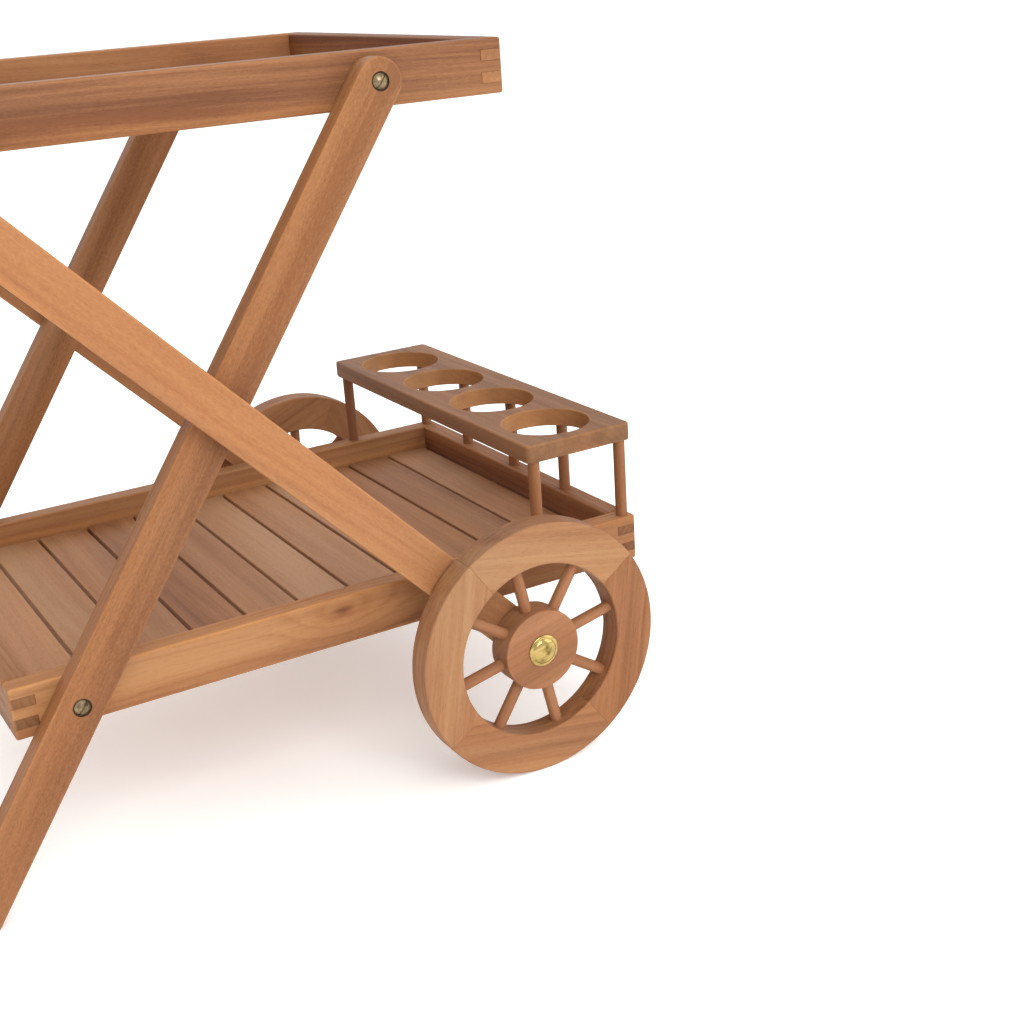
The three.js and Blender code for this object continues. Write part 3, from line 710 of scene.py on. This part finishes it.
def bolt(node, side, lean):
    """A slotted brass bolt: a domed head on an upright rim, and a round shank.

    The dome is a grid over lines of constant x. Its height at a distance r from the middle is
    rise * (1 - (r / radius) ** 3.2) ** 0.75, and between the slot's edges the slot's depth is taken
    off, but no more than the dome has.
    """
    low, high = box(node)
    face = high[1] if side > 0 else low[1]
    centre = middle(node)[[0, 2]]
    radius, half = BOLT_HEAD_RADIUS, SLOT_WIDTH / 2
    outer = half + (radius * 0.998 - half) * np.sin(np.linspace(0.03, math.pi / 2, 14))
    right = np.concatenate([[half, half + SLOT_LIP], outer])
    columns = np.concatenate([-right[::-1], np.linspace(-half, half, 5)[1:-1], right])
    rows = np.sin(np.linspace(-math.pi / 2, math.pi / 2, 33))
    x = columns[:, None] + 0 * rows
    y = rows * np.sqrt(radius ** 2 - x ** 2)
    share = np.clip((x ** 2 + y ** 2) / radius ** 2, 0, 1)
    dome = BOLT_HEAD_RISE * (1 - share ** 1.6) ** 0.75
    height = dome - np.where(np.abs(x) <= half, np.minimum(SLOT_DEPTH, dome), 0.0)
    u = np.array([math.cos(lean), 0, math.sin(lean)])
    v = np.array([-math.sin(lean), 0, math.cos(lean)])
    base = np.array([centre[0], face - side * BOLT_HEAD_DEPTH, centre[1]])
    height = (height + BOLT_HEAD_RIM)[..., None]
    spots = base + x[..., None] * u + y[..., None] * v + height * side * Y
    steep = 2.4 * BOLT_HEAD_RISE / radius ** 2
    slope = steep * np.where(np.abs(x) > half + 2 * SLOT_LIP, x, 0.0)
    looks = side * Y + slope[..., None] * u + steep * y[..., None] * v
    looks = looks / np.linalg.norm(looks, axis=2, keepdims=True)
    shape = Shape()
    top = shape.add(spots, looks, 0.4)
    shape.skin(top, closed=False)
    rim = np.concatenate([top[0, :-1], top[:-1, -1], top[-1, :0:-1], top[:0:-1, 0]])
    edge = np.concatenate(shape.points)[rim]
    out = edge - base
    out -= np.outer(out @ Y, Y)
    out /= np.linalg.norm(out, axis=1)[:, None]
    lower = edge - np.outer((edge - base) @ Y, Y)
    wall = shape.add(np.stack([edge, lower]), np.stack([out, out]), 0.3)
    shape.skin(wall)
    under = shape.add(lower[None], np.broadcast_to(-side * Y, (1, len(lower), 3)), 0.0)
    flat = np.stack([(lower - base) @ u, (lower - base) @ v], 1)
    shape.fill([under[0]], [flat])
    tip = low[1] if side > 0 else high[1]
    rod = rod_profile(abs(base[1] - tip), BOLT_SHANK_RADIUS, BOLT_SHANK_EASING, rings=4)
    shank = turned(*rod, np.array([centre[0], tip, centre[1]]), side * Y, 20)
    return settle(node, joined(shape, shank), "frame", [node], OLD_BRASS, "brass")


def joined(*shapes):
    """Several closed surfaces as one shape."""
    whole = Shape()
    for part in shapes:
        whole.faces += [group + whole.count for group in part.faces]
        whole.points += part.points
        whole.outward += part.outward
        whole.wear += part.wear
        whole.count += part.count
    return whole


# ------------------------------------------------------------------ trays

side_rail("lower", "left", 1.0, tone=(0.05, 0.6), sap=(0, 160, 1.4))
side_rail("lower", "right", -1.0, tone=(-0.03, 0.7), knot=(-0.014, 0.011, 24 * MM),
          sap=(0, 90, -1.7))
side_rail("upper", "left", 1.0, tone=(0.12, 0.6))
side_rail("upper", "right", -1.0, tone=(0.34, 0.5), ends=0.2, sap=(-1.3, -38, -0.2))
end_rail("lower", "front", 1.0, tone=(0.26, 0.75), ends=0.6)
end_rail("lower", "rear", -1.0, tone=(0.1, 0.6), ends=0.7)
end_rail("upper", "front", 1.0, tone=(0.36, 0.8), ends=-0.7)
end_rail("upper", "rear", -1.0, tone=(0.1, 0.5), ends=0.5)

SLAT_TONES = chance.uniform([-0.28, 0.0], [0.26, 0.8], (SLATS, 2))
for i in range(SLATS):
    node = f"lower_slat_{i + 1}"
    slat(node, *box(node), [node], SLAT_TONES[i])
for side_name, _ in SIDES:
    node = f"lower_ledger_{side_name}"
    ledger(node, *box(node), [node])

shift = box("upper_tray_front_rail")[0] - box("lower_tray_front_rail")[0]
for i in range(SLATS):
    low, high = box(f"lower_slat_{i + 1}")
    slat(f"upper_slat_{i + 1}", low + shift, high + shift, ["upper_tray_floor"], SLAT_TONES[-i])
for side_name, _ in SIDES:
    low, high = box(f"lower_ledger_{side_name}")
    ledger(f"upper_ledger_{side_name}", low + shift, high + shift, ["upper_tray_floor"])

# ------------------------------------------------------------------ crossed bars and handle

GRIP = middle("handle")
for side_name, side in SIDES:
    spots = {p: middle(f"{side_name}_{p}_bolt")[[0, 2]]
             for p in ("upper_leg", "lower_leg", "upper_handle_bar", "lower_handle_bar")}
    leg_line = spots["upper_leg"], spots["lower_leg"]
    crossed_bar(f"{side_name}_leg", side, *leg_line, 0.0, leg_line, (), tone=(0.28, 0.4),
                sap=(0.3, 8, 0.1), knot=(0.4538, -0.0192, 8 * MM))
    holes = ((AXLE[[0, 2]], AXLE_BORE_RADIUS), (GRIP[[0, 2]], TENON_BORE_RADIUS))
    bar_bolts = spots["upper_handle_bar"], spots["lower_handle_bar"]
    crossed_bar(f"{side_name}_handle_bar", side, GRIP[[0, 2]], AXLE[[0, 2]], None, bar_bolts, holes,
                tone=(-0.02, 0.72), sap=(2.0, 60, -1.3))
    for place in spots:
        bolt(f"{side_name}_{place}_bolt", side, BOLT_LEAN)
    for level in ("upper", "lower"):
        node = f"{side_name}_{level}_spacer"
        low, high = box(node)
        length, radius = high[1] - low[1], (high[0] - low[0]) / 2
        ring = [(0, SPACER_BORE_RADIUS), (length, SPACER_BORE_RADIUS), (length, radius), (0, radius)]
        origin = np.array([middle(node)[0], low[1], middle(node)[2]])
        shape = turned(*rounded(ring, SPACER_EASING, 4), origin, Y, 64, closed=True)
        settle(node, shape, "frame", [node], ROUND_TEAK, "teak_red", Y, X)


def handle_profile():
    """Tenon, shoulder, grip, shoulder and tenon, as one run of rounded steps."""
    low, high = box("handle")
    inside = box("left_handle_bar")[0][1] - SHOULDER_GAP
    length = high[1] - low[1]
    lead = length / 2 - inside
    grip, looks = rod_profile(2 * inside, (high[0] - low[0]) / 2, GRIP_EASING)
    stub, stub_looks = rod_profile(2 * lead, TENON_RADIUS, TENON_EASING, rings=4)
    half = len(stub) // 2
    profile = np.concatenate([
        stub[:half],
        [[lead, TENON_RADIUS]],
        grip + [lead, 0],
        [[length - lead, TENON_RADIUS]],
        stub[half:] + [length - 2 * lead, 0],
    ])
    outward = np.concatenate([stub_looks[:half], [[0, 1]], looks, [[0, 1]], stub_looks[half:]])
    return profile, outward


shape = turned(*handle_profile(), np.array([GRIP[0], box("handle")[0][1], GRIP[2]]), Y, 48)
settle("handle", shape, "frame", ["handle"], ROUND_TEAK, "teak_pale", Y, X, (-0.1, 0.5))

# ------------------------------------------------------------------ bottle rack

low, high = box("bottle_board")
thickness = high[2] - low[2]
corners = [(low[0], low[1]), (high[0], low[1]), (high[0], high[1]), (low[0], high[1])]
spots = [mount["pos_m"][:2] for mount in frame["record"]["mounts"]
         if mount["name"].startswith("bottle_seat")]
holes = [(*circle(spot, RACK_HOLE_RADIUS, 96), 0.0, thickness, HOLE_EASING, "through", FRESH)
         for spot in spots]
shape = carried(rounded(corners, BOARD_CORNER_RADIUS, 8), straight(Z * low[2], X, Y), thickness,
                BOARD_EASING, BOARD_EASING, holes=holes)
settle("bottle_board", shape, "frame", ["bottle_board"], BOARD_TEAK, "teak", Y, Z, (0.2, 0.45),
       ends=0.1)
dowels = [f"rack_outer_dowel_{i + 1}" for i in range(DOWELS)]
dowels += [f"rack_inner_dowel_{side_name}" for side_name, _ in SIDES]
for node in dowels:
    low, high = box(node)
    rod = rod_profile(high[2] - low[2], (high[0] - low[0]) / 2, DOWEL_EASING)
    shape = turned(*rod, np.array([*middle(node)[:2], low[2]]), Z, 40)
    settle(node, shape, "frame", [node], ROUND_TEAK, "teak_red", Z, X, (0.06, 0.6))

# ------------------------------------------------------------------ wheels


def felloe(name, body, start, stop, outer, low, high, tone):
    """A quarter of a rim: a rounded square section carried round the axle by its middle radius.

    A point's shade is raised by TREAD_SHADE * (1 - the size of its outward direction along Y).
    """
    section = [(RIM_INNER_RADIUS, low), (outer, low), (outer, high), (RIM_INNER_RADIUS, high)]
    mean = (RIM_INNER_RADIUS + outer) / 2

    def path(s):
        angle = start + s / mean
        radial = np.stack([np.cos(angle), 0 * angle, np.sin(angle)], -1)
        travel = np.stack([-np.sin(angle), 0 * angle, np.cos(angle)], -1)
        return np.array([AXLE[0], 0, AXLE[2]]), radial, Y, travel

    outline = rounded(section, RIM_EASING, 5)
    shape = carried(outline, path, (stop - start) * mean, SEAM_EASING, SEAM_EASING, 40)
    half = (start + stop) / 2
    along = np.array([-math.sin(half), 0, math.cos(half)])
    looks = np.concatenate(shape.outward)
    # Darker on the tread and the inner rim than on the flat faces.
    rim_darkening = TREAD_SHADE * (1 - np.abs(looks[:, 1]))
    return settle(name, shape, body, [name], WHEEL_TEAK, "teak_pale", along, Y, tone, shade=rim_darkening)


FELLOE_TONES = {"right": ((-0.12, 0.3), (-0.06, 0.6), (0.1, 0.62), (0.14, 0.85)),
                "left": ((0.05, 0.6), (0.1, 0.5), (0.02, 0.65), (-0.05, 0.5))}
for side_name, side in SIDES:
    body = f"{side_name}_wheel"
    rim = [box(f"{body}_felloe_{i + 1}") for i in range(FELLOES)]
    low, high = np.min([b[0] for b in rim], 0), np.max([b[1] for b in rim], 0)
    turn, gap = RIM_TURNS[side_name], JOINT_GAP / RIM_INNER_RADIUS
    for i in range(FELLOES):
        start = turn + i * math.pi / 2
        felloe(f"{body}_felloe_{i + 1}", body, start + gap, start + math.pi / 2 - gap,
               (high[2] - low[2]) / 2, low[1], high[1], FELLOE_TONES[side_name][i])
    node = f"{body}_spoked_hub"
    hub_low, hub_high = box(node)
    width, bore = hub_high[1] - hub_low[1], AXLE_BORE_RADIUS
    ring = [(0, bore), (width, bore), (width, HUB_RADIUS), (0, HUB_RADIUS)]
    section = rounded(ring, [HUB_BORE_EASING, HUB_BORE_EASING, HUB_EASING, HUB_EASING], 6)
    origin = np.array([AXLE[0], hub_low[1], AXLE[2]])
    shape = turned(*section, origin, Y, 96, closed=True)
    settle(f"{body}_hub", shape, body, [node], ROUND_TEAK, "teak_red", X + 0.25 * Z, side * Y,
           (-0.04, 0.4), ends=0.3)
    begin, end = HUB_RADIUS - SPOKE_TENON, RIM_INNER_RADIUS + SPOKE_TENON
    for i in range(SPOKES):
        angle = turn + (i + 0.5) * 2 * math.pi / SPOKES
        along = np.array([math.cos(angle), 0, math.sin(angle)])
        origin = np.array([AXLE[0], (low[1] + high[1]) / 2, AXLE[2]]) + begin * along
        shape = turned(*rod_profile(end - begin, SPOKE_RADIUS, SPOKE_EASING), origin, along, 32)
        settle(f"{body}_spoke_{i + 1}", shape, body, [node], ROUND_TEAK, "teak_red", along, Y,
               (0.0, 0.6))


def hub_cap(side_name, side):
    """A pressed brass cap: a shallow dome that runs into a raised bead round the flange.

    With q the share of the radius, the dome's height is foot + (1 - foot) * sqrt(1 - (q / edge) ** 2)
    out to its edge, and the flange's is brim * (2 - ((q - bead) / half) ** 2), but no less than brim.
    The cap follows the higher of the two, times its rise.
    """
    foot, edge, brim, bead, half = 0.2, 0.82, 0.16, 0.86, 0.14
    node = f"{side_name}_hub_cap"
    low, high = box(node)
    radius, rise = (high[0] - low[0]) / 2, high[1] - low[1]
    reach = np.concatenate([np.linspace(0.02, 0.75, 16), np.linspace(0.77, 0.998, 20)]) * radius
    share = reach / radius
    dome = foot + (1 - foot) * np.sqrt(np.clip(1 - (share / edge) ** 2, 0, 1))
    flange = brim + brim * np.clip(1 - ((share - bead) / half) ** 2, 0, 1)
    height = np.maximum(dome * (share < edge), flange) * rise
    slope = np.gradient(height, reach)
    top = np.stack([height, reach], 1)[::-1]
    looks = np.stack([np.ones_like(slope), -slope], 1)[::-1]
    seat = np.array([[0.0, radius * 0.5], [0.0, radius], [0.1 * rise, radius]])
    profile = np.concatenate([seat, top])
    outward = np.concatenate([[[-1, 0], [-0.7, 0.7], [0, 1]], looks])
    outward = outward / np.linalg.norm(outward, axis=1)[:, None]
    origin = np.array([AXLE[0], low[1] if side > 0 else high[1], AXLE[2]])
    shape = turned(profile, outward, origin, side * Y, 72)
    return settle(node, shape, "frame", [node], BRASS, "brass")


for side_name, side in SIDES:
    hub_cap(side_name, side)
low, high = box("axle")
rod = rod_profile(high[1] - low[1], (high[0] - low[0]) / 2, AXLE_EASING, rings=30)
shape = turned(*rod, np.array([AXLE[0], low[1], AXLE[2]]), Y, 40)
settle("axle", shape, "frame", ["axle"], STEEL, "steel")

# ------------------------------------------------------------------ floor, light and camera

CAMERA_PLACE = np.array([-0.4721, -1.5978, 0.8469])
HEADING, DIP, ROLL = 0.5168, 0.35486, -0.06787
LENS, SENSOR = 53.197, 36.0


def camera():
    """A camera that looks along a heading from +Y towards +X, dips, and rolls about its view."""
    ahead = np.array([math.sin(HEADING), math.cos(HEADING), 0])
    level = np.array([math.cos(HEADING), -math.sin(HEADING), 0])
    view = ahead * math.cos(DIP) - Z * math.sin(DIP)
    rise = np.cross(level, view)
    right = math.cos(ROLL) * level + math.sin(ROLL) * rise
    up = -math.sin(ROLL) * level + math.cos(ROLL) * rise
    data = bpy.data.cameras.new("camera")
    data.lens, data.sensor_width, data.clip_start, data.clip_end = LENS, SENSOR, 0.05, 60
    made = bpy.data.objects.new("camera", data)
    turn = Matrix(np.stack([right, up, -view], 1).tolist()).to_4x4()
    turn.translation = CAMERA_PLACE.tolist()
    made.matrix_world = turn
    bpy.context.scene.collection.objects.link(made)
    bpy.context.scene.camera = made


def floor():
    """A wide sheet of pale floor under the feet and wheels."""
    r = Recipe("floor")
    cloud = r.noise(r.node("TexCoord").outputs["Object"], (1.5,) * 3, 3)
    colour = r.mix(cloud, (*srgb(254, 254, 253), 1), (*srgb(251, 251, 250), 1))
    material = r.surface(Base_Color=colour, Roughness=0.9, Emission_Color=(1, 1, 1, 1),
                         Emission_Strength=FLOOR_GLOW)
    mesh = bpy.data.meshes.new("floor")
    reach = 30.0
    corners = [(-reach, -reach, 0), (reach, -reach, 0), (reach, reach, 0), (-reach, reach, 0)]
    mesh.from_pydata(corners, [], [(0, 1, 2, 3)])
    mesh.materials.append(material)
    sheet = bpy.data.objects.new("floor", mesh)
    bpy.context.scene.collection.objects.link(sheet)


def lamp(name, place, target, size, power, colour=(1, 1, 1)):
    """A square soft light at a place, aimed at a target."""
    data = bpy.data.lights.new(name, "AREA")
    data.energy, data.size, data.color = power, size, colour
    made = bpy.data.objects.new(name, data)
    back = np.array(place, float) - target
    back /= np.linalg.norm(back)
    side = np.cross(Z, back)
    side /= np.linalg.norm(side)
    turn = Matrix(np.stack([side, np.cross(back, side), back], 1).tolist()).to_4x4()
    turn.translation = place
    made.matrix_world = turn
    bpy.context.scene.collection.objects.link(made)


camera()
floor()
centre = np.array([0, 0, 0.4])
lamp("key", (-0.2, -3.2, 2.6), centre, 2.2, 70)
lamp("fill", (2.8, -1.8, 1.6), centre, 2.5, 30)
lamp("back", (0.5, 3.0, 2.6), centre, 2.5, 25)
world = bpy.data.worlds.new("studio")
world.use_nodes = True
sky = world.node_tree.nodes["Background"]
sky.inputs["Color"].default_value = (1, 1, 1, 1)
sky.inputs["Strength"].default_value = SKY_STRENGTH
bpy.context.scene.world = world
bpy.context.scene.view_settings.view_transform = "Standard"
